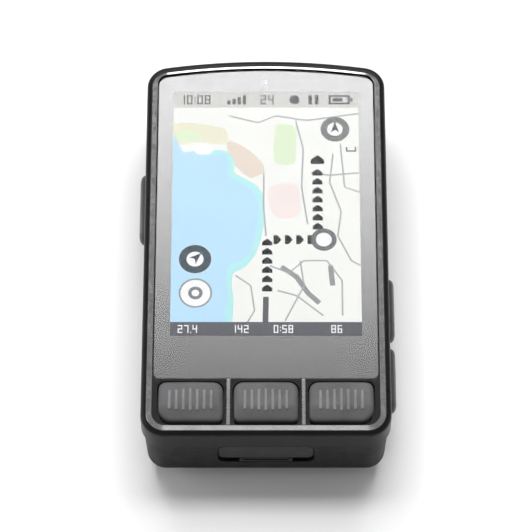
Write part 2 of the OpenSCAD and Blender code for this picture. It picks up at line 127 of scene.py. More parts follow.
def stroke(points, width):
    """Outline of an open line of the given width through the points."""
    left, right = [], []
    for i, point in enumerate(points):
        before = Vector(points[max(i - 1, 0)])
        after = Vector(points[min(i + 1, len(points) - 1)])
        along = (after - before).normalized()
        side = Vector((-along.y, along.x)) * width / 2
        left.append(tuple(Vector(point) + side))
        right.append(tuple(Vector(point) - side))
    return right + left[::-1]


# ---- Meshes ----

def piece(name, bm, body, slot, *nodes):
    """Makes an object of a bmesh that is in millimetres and rides it on a body; its slot argument is
    not used.
    """
    bmesh.ops.scale(bm, vec=(MM, MM, MM), verts=bm.verts)
    bmesh.ops.recalc_face_normals(bm, faces=bm.faces)
    mesh = bpy.data.meshes.new(name)
    bm.to_mesh(mesh)
    bm.free()
    obj = bpy.data.objects.new(name, mesh)
    bpy.context.scene.collection.objects.link(obj)
    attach(obj, body)
    if nodes:
        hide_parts(*nodes)
    return obj


def add_rings(bm, rings, look=0):
    """Closed skin through rings of equal length, each a list of (x, y, z)."""
    loops = [[bm.verts.new(p) for p in ring] for ring in rings]
    count = len(loops[0])
    faces = [bm.faces.new(loops[0][::-1]), bm.faces.new(loops[-1])]
    for low, high in zip(loops, loops[1:]):
        for i in range(count):
            j = (i + 1) % count
            faces.append(bm.faces.new((low[i], low[j], high[j], high[i])))
    for face in faces:
        face.material_index = look


def turn_up(obj):
    """Flips the faces of a flat sheet that look down."""
    for polygon in obj.data.polygons:
        if polygon.normal.z < 0:
            polygon.flip()
    return obj


def flat_sheet(name, outlines, z, slot="display"):
    """Thin printed layer on the case: each outline is one face."""
    bm = bmesh.new()
    for outline in outlines:
        bm.faces.new([bm.verts.new((x, y, z)) for x, y in outline])
    bmesh.ops.triangulate(bm, faces=bm.faces)
    for face in bm.faces:
        if face.normal.z < 0:
            face.normal_flip()
    return turn_up(piece(name, bm, "case", slot))


def holed_sheet(name, outer, hole, z, slot):
    """Thin printed layer on the case, between two outlines of any number of points."""
    bm = bmesh.new()
    for outline in (outer, hole):
        loop = [bm.verts.new((x, y, z)) for x, y in outline]
        for start, end in zip(loop, loop[1:] + loop[:1]):
            bm.edges.new((start, end))
    bmesh.ops.triangle_fill(bm, use_beauty=True, edges=bm.edges[:])
    return turn_up(piece(name, bm, "case", slot))


def band(outer, inner):
    """Quads between two outlines of equal length, as a list of faces."""
    count = len(outer)
    return [[outer[i], outer[(i + 1) % count], inner[(i + 1) % count], inner[i]]
            for i in range(count)]


def smooth_by_angle(obj, degrees=30):
    """Geometry nodes that shade smoothly except across edges sharper than the angle."""
    name = f"smooth_{degrees}"
    group = bpy.data.node_groups.get(name)
    if group is None:
        group = bpy.data.node_groups.new(name, "GeometryNodeTree")
        group.interface.new_socket("Geometry", in_out="INPUT", socket_type="NodeSocketGeometry")
        group.interface.new_socket("Geometry", in_out="OUTPUT", socket_type="NodeSocketGeometry")
        nodes, links = group.nodes, group.links
        start, end = nodes.new("NodeGroupInput"), nodes.new("NodeGroupOutput")
        drop = nodes.new("GeometryNodeRemoveAttribute")
        drop.inputs["Name"].default_value = "custom_normal"
        faces = nodes.new("GeometryNodeSetShadeSmooth")
        faces.domain = "FACE"
        edges = nodes.new("GeometryNodeSetShadeSmooth")
        edges.domain = "EDGE"
        angle = nodes.new("GeometryNodeInputMeshEdgeAngle")
        small = nodes.new("FunctionNodeCompare")
        small.operation = "LESS_THAN"
        small.inputs["B"].default_value = math.radians(degrees)
        links.new(start.outputs[0], drop.inputs["Geometry"])
        links.new(drop.outputs[0], faces.inputs["Geometry"])
        links.new(faces.outputs[0], edges.inputs["Geometry"])
        links.new(angle.outputs["Unsigned Angle"], small.inputs["A"])
        links.new(small.outputs[0], edges.inputs["Shade Smooth"])
        links.new(edges.outputs[0], end.inputs[0])
    modifier = obj.modifiers.new("Smooth", "NODES")
    modifier.node_group = group
    flat_first = obj.modifiers.new("Flat faces first", "WEIGHTED_NORMAL")
    flat_first.keep_sharp = True


def finish_cad(node, width):
    """Softens the sharp edges of a CAD node with modifiers, leaving its mesh alone."""
    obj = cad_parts[node]
    weld = obj.modifiers.new("Weld", "WELD")
    weld.merge_threshold = 1e-6
    if width:
        bevel = obj.modifiers.new("Bevel", "BEVEL")
        bevel.width = width * MM
        bevel.segments = 2
        bevel.limit_method = "ANGLE"
        bevel.angle_limit = math.radians(40)
    smooth_by_angle(obj)


# ---- Materials ----

class Finish:
    """A procedural material that is built up from a Principled shader."""

    def __init__(self, name, color, roughness, metallic=0.0):
        self.material = bpy.data.materials.new(name)
        self.material.use_nodes = True
        self.nodes = self.material.node_tree.nodes
        self.links = self.material.node_tree.links
        self.shader = self.nodes["Principled BSDF"]
        self.set("Base Color", (*color, 1))
        self.set("Roughness", roughness)
        self.set("Metallic", metallic)
        self.place = self.nodes.new("ShaderNodeTexCoord").outputs["Object"]
        self.height = None

    def set(self, socket, value):
        self.shader.inputs[socket].default_value = value
        return self

    def noise(self, cell_mm, detail=2.0, stretch=(1, 1, 1)):
        mapping = self.nodes.new("ShaderNodeMapping")
        mapping.inputs["Scale"].default_value = [s / (cell_mm * MM) for s in stretch]
        texture = self.nodes.new("ShaderNodeTexNoise")
        texture.inputs["Scale"].default_value = 1.0
        texture.inputs["Detail"].default_value = detail
        self.links.new(self.place, mapping.inputs["Vector"])
        self.links.new(mapping.outputs[0], texture.inputs["Vector"])
        return texture.outputs["Fac"]

    def spread(self, source, low, high):
        """Maps noise, which stays near its middle, to a range."""
        ramp = self.nodes.new("ShaderNodeMapRange")
        ramp.inputs["From Min"].default_value = 0.3
        ramp.inputs["From Max"].default_value = 0.7
        ramp.inputs["To Min"].default_value = low
        ramp.inputs["To Max"].default_value = high
        self.links.new(source, ramp.inputs["Value"])
        return ramp.outputs[0]

    def rough(self, cell_mm, low, high):
        self.links.new(self.spread(self.noise(cell_mm, 4), low, high), self.shader.inputs["Roughness"])
        return self

    def tint(self, cell_mm, dark, light):
        mix = self.nodes.new("ShaderNodeMix")
        mix.data_type = "RGBA"
        mix.inputs["A"].default_value = (*dark, 1)
        mix.inputs["B"].default_value = (*light, 1)
        self.links.new(self.spread(self.noise(cell_mm, 3), 0, 1), mix.inputs["Factor"])
        self.links.new(mix.outputs["Result"], self.shader.inputs["Base Color"])
        return self

    def fade(self, radius, near, far):
        """Grey that goes from near to far with the distance from the object."""
        length = self.nodes.new("ShaderNodeVectorMath")
        length.operation = "LENGTH"
        ramp = self.nodes.new("ShaderNodeMapRange")
        ramp.interpolation_type = "SMOOTHSTEP"
        for socket, value in zip(("From Min", "From Max", "To Min", "To Max"), (*radius, near, far)):
            ramp.inputs[socket].default_value = value
        self.links.new(self.place, length.inputs[0])
        self.links.new(length.outputs["Value"], ramp.inputs["Value"])
        self.links.new(ramp.outputs[0], self.shader.inputs["Base Color"])
        return self

    def bump(self, source, depth_mm, strength=1.0):
        node = self.nodes.new("ShaderNodeBump")
        node.inputs["Strength"].default_value = strength
        node.inputs["Distance"].default_value = depth_mm * MM
        self.links.new(source, node.inputs["Height"])
        if self.height:
            self.links.new(self.height, node.inputs["Normal"])
        self.height = node.outputs[0]
        self.links.new(self.height, self.shader.inputs["Normal"])
        return self


def plastic(name, color, roughness, grain_mm, grain_depth, sheen=0.15, specular=0.5):
    """Moulded plastic: spark-eroded grain, a slow unevenness in gloss and a little mottling."""
    look = Finish(name, color, roughness)
    look.tint(6, [c * 0.85 for c in color], [c * 1.2 for c in color])
    look.rough(2.5, roughness - 0.05, roughness + 0.06)
    look.bump(look.noise(grain_mm, 2), grain_depth)
    look.set("Sheen Weight", sheen)
    look.set("Sheen Roughness", 0.5)
    look.set("Specular IOR Level", specular)
    return look.material


def lit(name, color, uneven=0.03):
    """Ink on the lit display: glows in its own colour, a little uneven like the backlight."""
    look = Finish(name, [c * 0.03 for c in color], 0.6)
    look.set("Specular IOR Level", 0.0)
    mix = look.nodes.new("ShaderNodeMix")
    mix.data_type = "RGBA"
    mix.inputs["A"].default_value = (*[c * (1 - uneven) for c in color], 1)
    mix.inputs["B"].default_value = (*color, 1)
    look.links.new(look.spread(look.noise(7, 1), 0, 1), mix.inputs["Factor"])
    look.links.new(mix.outputs["Result"], look.shader.inputs["Emission Color"])
    look.set("Emission Strength", DISPLAY_GAIN)
    return look.material


def glass(name):
    """Thin clear glass with an anti-reflection coating, so it mirrors little."""
    look = Finish(name, (0.02, 0.021, 0.022), 0.02)
    look.set("Alpha", GLASS_ALPHA)
    look.set("IOR", GLASS_IOR)
    look.bump(look.noise(12, 1), 0.002, 0.4)
    return look.material


def gloss(name, color, roughness, ior, specular=0.5):
    """Polished dark plastic or print that mirrors the studio, with faint wiping marks."""
    look = Finish(name, color, roughness)
    look.set("IOR", ior)
    look.set("Specular IOR Level", specular)
    look.tint(8, [c * 0.8 for c in color], [c * 1.25 for c in color])
    look.rough(4, roughness - 0.03, roughness + 0.04)
    look.bump(look.noise(9, 1), 0.002, 0.15)
    return look.material


def metal(name, color, roughness, stretch=(1, 1, 1)):
    look = Finish(name, color, roughness, 1.0)
    look.tint(3, [c * 0.88 for c in color], [min(c * 1.08, 1) for c in color])
    look.rough(0.8, roughness - 0.08, roughness + 0.08)
    look.bump(look.noise(0.3, 2, stretch), 0.01)
    return look.material


def dress(material, *objects):
    for obj in objects:
        if obj.material_slots:
            for holder in obj.material_slots:
                holder.material = material
        else:
            obj.data.materials.append(material)


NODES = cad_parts

gloss_black = gloss("case_front_lacquer", (0.006, 0.006, 0.0065), 0.3, 1.45, 0.12)
trim_silver = metal("trim_line", (0.33, 0.33, 0.335), 0.16)
bar_grey = metal("trim_bar", (0.11, 0.11, 0.113), 0.25)
matte_black = plastic("case_rear_plastic", (0.006, 0.006, 0.0065), 0.48, 0.4, 0.03, 0.0, 0.16)
button_black = plastic("button_plastic", (0.064, 0.064, 0.066), 0.5, 0.18, 0.01, 0.1, 0.4)
# The ribs are raised in the cap's own plastic; their lighter grey is a painted highlight along them.
rib_painted_highlight = plastic("button_rib_painted_highlight", (0.125, 0.125, 0.128), 0.42, 0.18, 0.006, 0.1)
side_black = plastic("side_button_plastic", (0.03, 0.03, 0.032), 0.42, 0.18, 0.008)
rubber_black = plastic("door_rubber", (0.01, 0.01, 0.0105), 0.6, 0.2, 0.012, 0.05, 0.3)
hub_black = plastic("hub_plastic", (0.035, 0.035, 0.037), 0.38, 0.3, 0.01)
inner_black = plastic("inner_plastic", (0.04, 0.04, 0.043), 0.5, 0.3, 0.01)
seal_grey = plastic("silicone", (0.05, 0.05, 0.052), 0.6, 0.4, 0.01, 0.3)
foam_grey = plastic("foam", (0.06, 0.06, 0.065), 0.9, 0.5, 0.08, 0.4)
cream = plastic("connector_plastic", (0.7, 0.66, 0.55), 0.4, 0.3, 0.005)
white_part = plastic("white_plastic", (0.75, 0.75, 0.73), 0.45, 0.3, 0.005)
red_lead = plastic("lead_insulation", (0.5, 0.02, 0.015), 0.4, 0.3, 0.004)
board_green = plastic("circuit_board", (0.015, 0.14, 0.05), 0.3, 0.6, 0.01, 0.0)
orange_flex = plastic("flex_circuit", (0.55, 0.24, 0.04), 0.3, 0.4, 0.004, 0.0)
steel = metal("sheet_steel", (0.55, 0.56, 0.57), 0.35, (4, 1, 1))
screw_steel = metal("screw_steel", (0.32, 0.32, 0.34), 0.32)
brass = metal("antenna_metal", (0.75, 0.55, 0.22), 0.3)
pouch = metal("battery_pouch", (0.6, 0.61, 0.63), 0.4)
cover = glass("cover_glass")
border_black = gloss("border_ink", (0.006, 0.006, 0.007), 0.09, PRINT_IOR)

CAD_LOOKS = {
    gloss_black: ["front_shell"],
    matte_black: ["rear_shell"],
    rubber_black: ["usb_door", "usb_door_anchor"],
    side_black: ["power_button", "up_button", "down_button"],
    hub_black: ["twist_hub"],
    inner_black: ["gnss_carrier", "buzzer", "usb_tongue", "processor_chip", "radio_chip",
                  "board_chips", "light_sensor", "front_plunger_left", "front_plunger_middle",
                  "front_plunger_right", "power_plunger", "up_plunger", "down_plunger"],
    seal_grey: ["case_seal", "glass_adhesive", "usb_seal", "front_button_seal",
                "power_button_seal", "side_button_seal"],
    foam_grey: ["battery_pad"],
    cream: ["display_connector", "battery_socket", "radio_antenna"],
    white_part: ["backlight", "lcd_panel", "front_switch_left", "front_switch_middle",
                 "front_switch_right", "power_switch", "up_switch", "down_switch",
                 "vent_membrane"],
    red_lead: ["battery_leads"],
    board_green: ["main_board"],
    orange_flex: ["display_flex"],
    steel: ["display_frame", "processor_shield", "radio_shield", "usb_receptacle",
            "hub_backing_plate", "pressure_sensor"],
    screw_steel: ["hub_screws", "case_screws"],
    brass: ["gnss_antenna"],
    pouch: ["battery"],
}
for look, names in CAD_LOOKS.items():
    dress(look, *(NODES[name] for name in names))

# Widths of the softened edges, in millimetres
CAD_EDGES = {
    0.12: ["front_shell", "rear_shell", "twist_hub"],
    0.06: ["usb_door", "usb_door_anchor", "hub_screws", "case_screws"],
    0: ["power_button", "up_button", "down_button"],
}
for width, names in CAD_EDGES.items():
    for name in names:
        finish_cad(name, width)


def box_mm(node):
    low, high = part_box(node)
    return low / MM, high / MM


# ---- Cover glass and the black border behind it ----

shell_low, shell_high = box_mm("front_shell")
glass_low, glass_high = box_mm("cover_glass")
lcd_low, lcd_high = box_mm("lcd_panel")

# Thin layers bonded under the glass's clear top: the picture, then the black print
LAYER = 0.01
CLEAR_T = 0.4
CLEAR_Z = glass_high.z - CLEAR_T
ART_Z = CLEAR_Z - 11 * LAYER
BORDER_Z = ART_Z + 8 * LAYER
SPOT_Z = ART_Z + 9.5 * LAYER

# Plan of the case and the glass, as in the CAD
CASE_CORNER = 4.8
TOP_BOW = 2.3
GLASS_FOOT_R = 1.6


def bowed(inset, low, foot_r, half, steps=12):
    """Case plan moved inwards: straight sides, bowed top, foot corners of radius foot_r."""
    half_w = shell_high.x
    bow_r = (half_w ** 2 + TOP_BOW ** 2) / (2 * TOP_BOW)
    bow_y = shell_high.y - bow_r
    corner_x = half_w - CASE_CORNER
    corner_y = bow_y + math.sqrt((bow_r - CASE_CORNER) ** 2 - corner_x ** 2)
    turn = math.degrees(math.atan2(corner_y - bow_y, corner_x))
    radius = CASE_CORNER - inset
    return (arc(half - foot_r, low + foot_r, foot_r, 270, 360, steps)
            + arc(corner_x, corner_y, radius, 0, turn, steps)
            + arc(0, bow_y, bow_r - inset, turn, 180 - turn, 24)[1:-1]
            + arc(-corner_x, corner_y, radius, 180 - turn, 180, steps)
            + arc(foot_r - half, low + foot_r, foot_r, 180, 270, steps))


def glass_outline(inset):
    return bowed(shell_high.x - glass_high.x + inset, glass_low.y + inset,
                 max(GLASS_FOOT_R - inset, 0.3), glass_high.x - inset)


def make_cover_glass():
    """The glass's clear top layer; the picture is bonded under it, on a dark core."""
    bm = bmesh.new()
    profile = ((0, 0.6), (0, 0.04), (0.1, 0.0), (0.5, 0.0), (0.75, 0.04), (0.92, 0.13), (1, 0.3),
               (1, 0.8))
    add_rings(bm, [[(x, y, CLEAR_Z + share * CLEAR_T) for x, y in glass_outline(inset)]
                   for share, inset in profile])
    obj = piece("cover_glass_polished", bm, "case", "cover_glass", "cover_glass")
    dress(cover, obj)
    smooth_by_angle(obj, 40)
    bm = bmesh.new()
    outline = glass_outline(0.02)
    add_rings(bm, [[(x, y, z) for x, y in outline] for z in (glass_low.z, ART_Z - LAYER)])
    core = piece("cover_glass_core", bm, "case", "adhesive", "cover_glass")
    dress(matte_black, core)


make_cover_glass()

# ---- Polished trim round the front, with bars between the buttons ----

TRIM_W = 1.15
TRIM_SIDE_INSET = 1.12
TRIM_FOOT_INSET = 0.8
TRIM_TOP_START = 0.58  # share of the trim's width left dark along the bowed top
TRIM_SIDE_TILT = 0.17  # rise across the trim; none along the bowed top, less at the foot
TRIM_FOOT_TILT = 0.045
TRIM_PROFILE = ((0, -0.03), (0.06, 0.02), (0.94, 0.02), (1, -0.03), (0.5, -0.2))
BAR_W = 0.9
BAR_X = 7.6
BAR_LAP = 0.1          # how far a bar runs under the trim
BAR_CLEAR = 0.2        # gap between a bar and the glass


def outward(outline, i):
    """Direction out of the outline at one of its points."""
    before, after = outline[i - 1], outline[(i + 1) % len(outline)]
    along = (Vector(after) - Vector(before)).normalized()
    return Vector((along.y, -along.x))


def trim_outline(inset):
    """Case outline moved inwards, a little less so at the foot."""
    foot = inset - TRIM_SIDE_INSET + TRIM_FOOT_INSET
    return bowed(inset, shell_low.y + foot, CASE_CORNER - (inset + foot) / 2, shell_high.x - inset)


def make_trim():
    """A low polished bead that sits on the flat front, closed round the case's outline."""
    outer, inner = trim_outline(TRIM_SIDE_INSET), trim_outline(TRIM_SIDE_INSET + TRIM_W)
    bm = bmesh.new()
    loops = []
    for share, rise in TRIM_PROFILE:
        loop = []
        for i, (start, end) in enumerate(zip(outer, inner)):
            way = outward(outer, i)
            start_share = TRIM_TOP_START * max(way.y, 0)
            place = Vector(start).lerp(Vector(end), start_share + share * (1 - start_share))
            tilt = TRIM_SIDE_TILT * abs(way.x) + TRIM_FOOT_TILT * max(-way.y, 0)
            height = shell_high.z + rise + share * TRIM_W * tilt
            loop.append(bm.verts.new((place.x, place.y, height)))
        loops.append(loop)
    for low, high in zip(loops, loops[1:] + loops[:1]):
        for i, corner in enumerate(low):
            j = (i + 1) % len(low)
            bm.faces.new((corner, low[j], high[j], high[i]))
    foot_y = shell_low.y + TRIM_FOOT_INSET + TRIM_W - BAR_LAP
    head_y = glass_low.y - BAR_CLEAR
    for x in (-BAR_X, BAR_X):
        rings = []
        for inset, rise in ((0, -0.03), (0.08, 0.04), (0.25, 0.07)):
            outline = rounded(x - BAR_W / 2, foot_y, x + BAR_W / 2, head_y, 0.3, inset)
            rings.append([(px, py, shell_high.z + rise) for px, py in outline])
        add_rings(bm, rings, look=1)
    obj = piece("front_trim_line", bm, "case", "case_front")
    obj.data.materials.append(trim_silver)
    obj.data.materials.append(bar_grey)
    smooth_by_angle(obj, 30)


make_trim()

# ---- Black border ----

# The print's distance from the glass's edge, along its ends and its sides
PRINT_END_INSET = 0.05
PRINT_SIDE_INSET = 0.25

# Active area of the display, between the panel's borders
LCD_SIDE = 1.1
LCD_FOOT = 3.1
LCD_TOP = 1.2
SCREEN = (lcd_low.x + LCD_SIDE, lcd_low.y + LCD_FOOT, lcd_high.x - LCD_SIDE, lcd_high.y - LCD_TOP)
SCREEN_W = SCREEN[2] - SCREEN[0]
SCREEN_H = SCREEN[3] - SCREEN[1]


def at(u, v):
    """Place on the display, with u and v from 0 to 1 from its lower left corner."""
    return (SCREEN[0] + u * SCREEN_W, SCREEN[1] + v * SCREEN_H)


def make_border():
    """Black print on the back of the glass, with a clear window over the display."""
    near, far = glass_outline(PRINT_END_INSET), glass_outline(PRINT_SIDE_INSET)
    outer = []
    for i, (start, end) in enumerate(zip(near, far)):
        share = 1 - abs(outward(near, i).y)
        outer.append(tuple(Vector(start).lerp(Vector(end), share)))
    border = holed_sheet("glass_border_print", outer, block(*SCREEN), BORDER_Z, "adhesive")
    dress(border_black, border)


make_border()


# ---- The picture on the display: a made-up map, its route, icons and bars ----

ASPECT = SCREEN_W / SCREEN_H


def inks(name, colour, outlines, layer):
    """One layer of the display's picture: outlines in screen shares, all in one colour."""
    sheet = flat_sheet(name, [[at(u, v) for u, v in o] for o in outlines], ART_Z + layer * LAYER)
    dress(lit(name + "_ink", colour), sheet)


def disc(u, v, share, steps=32):
    """Circle on the display whose radius is a share of its width."""
    return [(u + share * math.cos(2 * math.pi * i / steps),
             v + share * ASPECT * math.sin(2 * math.pi * i / steps))
            for i in range(steps)]


def ring(u, v, outer, inner, steps=32):
    return band(disc(u, v, outer, steps), disc(u, v, inner, steps))


def road(points, width):
    """Open line on the display; its width is a share of the display's width."""
    outline = stroke([(u, v / ASPECT) for u, v in points], width)
    return [(u, v * ASPECT) for u, v in outline]


def chevron(u, v, heading, share=0.027):
    """Arrow mark of the route, pointing up at heading 0 and right at heading 90."""
    turn = math.radians(-heading)
    shape = [(-1, -0.75), (0, 0.05), (1, -0.75), (1, 0.0), (0, 0.8), (-1, 0.0)]
    points = [(x * math.cos(turn) - y * math.sin(turn), x * math.sin(turn) + y * math.cos(turn))
              for x, y in shape]
    return [(u + share * x, v + share * ASPECT * y) for x, y in points]


BAR_V = 0.935          # lower edge of the status bar
DATA_V = 0.055         # upper edge of the data bar
DIGIT_SHAPE = 0.52     # width of a digit as a share of its height
SEGMENTS = {"0": "abcdef", "1": "bc", "2": "abged", "3": "abgcd", "4": "fgbc",
            "5": "afgcd", "6": "afgecd", "7": "abc", "8": "abcdefg", "9": "abfgcd"}

DOTS = {":": (0.3, 0.7), ".": (0.07,)}    # heights of the dots' centres


def digits(text, u, v, height):
    """Seven-segment numbers from lower left corner (u, v); height is a share of the display's."""
    width = height / ASPECT * DIGIT_SHAPE
    thick_u, thick_v = width * 0.24, height * 0.14
    marks = []
    for character in text:
        if character in DOTS:
            for share in DOTS[character]:
                low = v + height * share - thick_v / 2
                marks.append(block(u, low, u + thick_u, low + thick_v))
            u += width * 0.5
            continue
        right, top, middle = u + width, v + height, v + height / 2
        places = {"a": (u, top - thick_v, right, top), "d": (u, v, right, v + thick_v),
                  "g": (u, middle - thick_v / 2, right, middle + thick_v / 2),
                  "b": (right - thick_u, middle, right, top),
                  "c": (right - thick_u, v, right, middle),
                  "f": (u, middle, u + thick_u, top), "e": (u, v, u + thick_u, middle)}
        marks += [block(*places[s]) for s in SEGMENTS[character]]
        u += width * 1.35
    return marks


LAND = (0.86, 0.87, 0.84)
PALE = (0.9, 0.9, 0.9)

LAKE = [(-0.02, 0.77), (0.06, 0.745), (0.13, 0.755), (0.2, 0.735), (0.27, 0.74), (0.3, 0.7),
        (0.3, 0.65), (0.36, 0.62), (0.42, 0.59), (0.455, 0.54), (0.46, 0.47), (0.44, 0.4),
        (0.42, 0.34), (0.37, 0.3), (0.31, 0.28), (0.29, 0.23), (0.3, 0.15), (0.28, 0.09),
        (0.27, 0.03), (-0.02, 0.03)]
SHALLOWS = [(0.2, 0.745), (0.29, 0.75), (0.33, 0.7), (0.33, 0.66), (0.39, 0.635), (0.46, 0.6),
            (0.49, 0.54), (0.49, 0.46), (0.47, 0.38), (0.44, 0.32), (0.38, 0.27), (0.33, 0.25),
            (0.32, 0.2), (0.33, 0.14), (0.31, 0.03), (0.2, 0.03), (0.24, 0.3), (0.38, 0.5),
            (0.24, 0.65)]


def make_map():
    inks("map_land", LAND, [block(0, 0, 1, 1)], 0)
    inks("map_town", (0.86, 0.76, 0.74),
         [smooth_loop([(0.52, 0.6), (0.66, 0.61), (0.68, 0.5), (0.6, 0.47), (0.53, 0.5)])], 1)
    inks("map_sands", (0.76, 0.66, 0.58),
         [smooth_loop([(0.29, 0.79), (0.37, 0.775), (0.46, 0.72), (0.49, 0.67), (0.42, 0.64),
                       (0.35, 0.68), (0.31, 0.72)])], 1)
    inks("map_fields", (0.78, 0.77, 0.6),
         [smooth_loop([(0, 0.86), (0.1, 0.87), (0.2, 0.86), (0.29, 0.84), (0.27, 0.78),
                       (0.14, 0.79), (0, 0.78)])], 1)
    inks("map_park", (0.7, 0.82, 0.6),
         [smooth_loop([(0.56, 0.86), (0.66, 0.85), (0.66, 0.77), (0.65, 0.7), (0.56, 0.7),
                       (0.54, 0.76)]),
          smooth_loop([(0.02, 0.83), (0.1, 0.84), (0.15, 0.81), (0.08, 0.79), (0.02, 0.8)])], 2)
    inks("map_shallows", (0.45, 0.8, 0.82), [smooth_loop(SHALLOWS, 4)], 2)
    inks("map_lake", (0.48, 0.73, 0.93), [smooth_loop(LAKE, 5)], 3)
    inks("map_island", PALE, [smooth_loop([(0.12, 0.765), (0.18, 0.775), (0.21, 0.75),
                                           (0.16, 0.735), (0.12, 0.745)])], 4)


def make_roads():
    minor = [[(0.3, 0.9), (0.46, 0.87), (0.55, 0.9), (0.72, 0.88), (1, 0.91)],
             [(0.488, 0.66), (0.487, 0.52), (0.5, 0.4)],
             [(0.86, 0.74), (0.84, 0.62), (0.9, 0.5), (0.88, 0.4), (0.95, 0.3), (1, 0.28)],
             [(0.74, 0.66), (0.84, 0.65), (1, 0.66)], [(0.9, 0.78), (0.92, 0.6), (1, 0.58)],
             [(0.66, 0.88), (0.7, 0.76), (0.69, 0.6), (0.72, 0.45)],
             [(0.52, 0.28), (0.62, 0.25), (0.7, 0.3), (0.82, 0.3), (0.9, 0.22), (0.9, 0.08)],
             [(0.34, 0.24), (0.42, 0.2), (0.44, 0.1), (0.4, 0.05)],
             [(0.56, 0.18), (0.66, 0.16), (0.8, 0.08)], [(0.6, 0.06), (0.7, 0.2), (0.68, 0.3)]]
    inks("map_streets", (0.42, 0.43, 0.44), [road(r, 0.009) for r in minor], 4)
    main = [[(0.58, 0.275), (0.66, 0.235), (0.72, 0.17), (0.78, 0.13)],
            [(0.84, 0.28), (0.85, 0.2)]]
    inks("map_main_road", (0.3, 0.31, 0.32), [road(r, 0.028) for r in main], 4)
    inks("map_route_past", (0.12, 0.12, 0.13), [road([(0.5, 0.155), (0.497, 0.055)], 0.03)], 5)


def make_route():
    marks = [chevron(0.506, 0.19 + 0.037 * i, 0) for i in range(6)]
    marks += [chevron(0.56 + 0.06 * i, 0.385, 90) for i in range(4)]
    marks += [chevron(0.775, 0.44 + 0.037 * i, 0) for i in range(7)]
    marks.append(chevron(0.776, 0.715, 0, 0.036))
    inks("map_route_arrows", (0.02, 0.02, 0.022), marks, 5)
    inks("map_position_fill", PALE, [disc(0.806, 0.385, 0.05)], 6)
    inks("map_position_ring", (0.16, 0.17, 0.18), ring(0.806, 0.385, 0.068, 0.042), 7)


def make_icons():
    inks("icon_pale_discs", PALE, [disc(0.872, 0.843, 0.078), disc(0.13, 0.17, 0.088),
                                   disc(0.126, 0.306, 0.088)], 5)
    inks("icon_compass_ring", (0.2, 0.21, 0.21), ring(0.872, 0.843, 0.078, 0.042), 6)
    inks("icon_compass_needle", (0.1, 0.1, 0.1),
         [[(0.872, 0.875), (0.85, 0.83), (0.872, 0.84), (0.894, 0.83)]], 7)
    inks("icon_locate_disc", (0.06, 0.09, 0.11), ring(0.126, 0.306, 0.086, 0.045), 6)
    inks("icon_locate_arrow", (0.06, 0.09, 0.11),
         [[(0.158, 0.33), (0.096, 0.312), (0.124, 0.307), (0.13, 0.287)]], 7)
    inks("icon_layers_ring", (0.3, 0.33, 0.36), ring(0.13, 0.17, 0.088, 0.078), 6)
    inks("icon_layers_mark", (0.2, 0.22, 0.24), ring(0.13, 0.17, 0.038, 0.02), 6)
    scale = [block(0.93, 0.748, 0.985, 0.754), block(0.93, 0.748, 0.938, 0.768),
             block(0.977, 0.748, 0.985, 0.768)]
    inks("icon_scale_bar", (0.15, 0.15, 0.16), scale, 6)


def make_bars():
    inks("status_bar", (0.62, 0.62, 0.6), [block(0, BAR_V, 1, 1)], 5)
    low, high = BAR_V + 0.014, 1 - 0.012
    marks = digits("10:08", 0.03, low, high - low)
    marks += [block(0.29 + 0.028 * i, low, 0.308 + 0.028 * i, low + (high - low) * (0.4 + 0.2 * i))
              for i in range(4)]
    marks += digits("24", 0.47, low, high - low)
    marks += [disc(0.655, (low + high) / 2, 0.028)]
    marks += [block(0.73, low, 0.75, high), block(0.765, low, 0.785, high)]
    battery = [block(0.84, low, 0.955, low + 0.007), block(0.84, high - 0.007, 0.955, high),
               block(0.84, low, 0.852, high), block(0.943, low, 0.955, high),
               block(0.957, low + 0.012, 0.97, high - 0.012),
               block(0.862, low + 0.012, 0.915, high - 0.012)]
    inks("status_marks", (0.13, 0.13, 0.135), marks + battery, 6)
    inks("data_bar", (0.12, 0.125, 0.14), [block(0, 0, 1, DATA_V)], 5)
    low, high = 0.012, DATA_V - 0.012
    marks = digits("27.4", 0.04, low, high - low) + digits("142", 0.32, low, high - low)
    marks += digits("0:58", 0.54, low, high - low) + digits("86", 0.84, low, high - low)
    inks("data_marks", PALE, marks, 6)


make_map()
make_roads()
make_route()
make_icons()
make_bars()


def make_sensor_window():
    """Small spot in the black border over the light sensor, drawn glowing pale as a painted glint."""
    low, high = box_mm("light_sensor")
    spot = circle((low.x + high.x) / 2, (low.y + high.y) / 2, 0.55)
    obj = flat_sheet("sensor_window", [spot], SPOT_Z, "optical_film")
    # painted glint: the spot glows in place of the light that its clear window catches
    dress(lit("sensor_window_painted_glint", (0.8, 0.82, 0.85)), obj)


make_sensor_window()


# ---- Front buttons: domed caps with moulded ribs and a rolled lower edge ----

BUTTON_W = 12.9
BUTTON_H = 9.2
FOOT_GAP = 0.7         # the cap stops short of its opening's lower edge
DOME = 0.22            # drop of the face from its middle to its sides
DOME_ALONG = 0.7       # the dome's share along the case
ROLL = 0.95            # extra drop at the lower edge
FLANGE_LOW = 2.8       # depths of the hidden flange below the rim
FLANGE_HIGH = 2.15
STEM_R = 1.2
RIBS = 7
RIB_PITCH = 1.4
RIB_W = 0.7
RIB_HEIGHT = 0.25
RIB_FOOT = 2.1         # reach of the middle rib from the button's centre, down and up
RIB_HEAD = 2.9
RIB_SHORTER = 0.35     # by which the outermost ribs are shorter at each end


